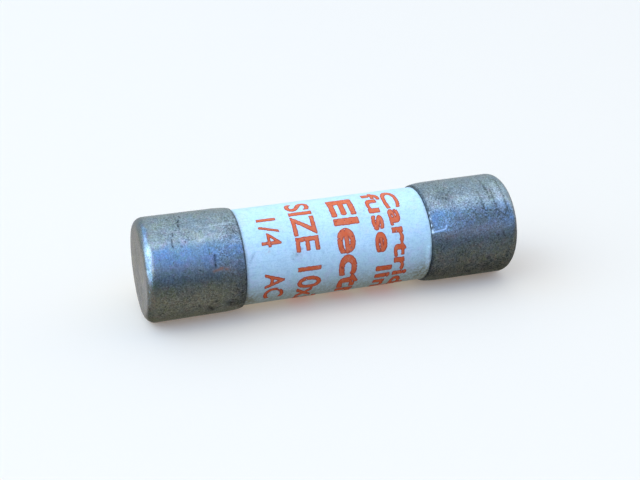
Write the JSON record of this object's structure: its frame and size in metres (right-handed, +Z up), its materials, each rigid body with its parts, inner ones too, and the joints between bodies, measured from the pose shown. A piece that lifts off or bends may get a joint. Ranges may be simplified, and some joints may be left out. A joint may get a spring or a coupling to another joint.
{
  "type": "cartridge fuse",
  "caption": "Small cylindrical cartridge fuse: a white printed insulating tube between rounded plated metal ferrules, with a wound wire element in sand inside.",
  "frame": {"origin": "centre of the fuse, on its axis, midway between the two end faces", "axes": "+X along the fuse's axis towards the right ferrule, +Z up as the fuse lies on a table with its print in view, +Y away from the viewer"},
  "size_m": [0.0382, 0.0104, 0.0104],
  "materials": {
    "ferrule_plating": "satin",
    "tube_laminate": "matte",
    "cement": "matte",
    "vulcanised_fibre": "matte",
    "solder": "satin",
    "glass_cord": "matte",
    "element_silver": "polished",
    "quartz_sand": "matte",
    "print_ink": "matte"
  },
  "bodies": {
    "root": {"left_ferrule": "ferrule_plating", "right_ferrule": "ferrule_plating", "body_tube": "tube_laminate", "left_cement_ring": "cement", "right_cement_ring": "cement", "left_end_washer": "vulcanised_fibre", "right_end_washer": "vulcanised_fibre", "left_solder_joint": "solder", "right_solder_joint": "solder", "element_core": "glass_cord", "fuse_element": "element_silver", "sand_filler": "quartz_sand"}
  },
  "joints": []
}
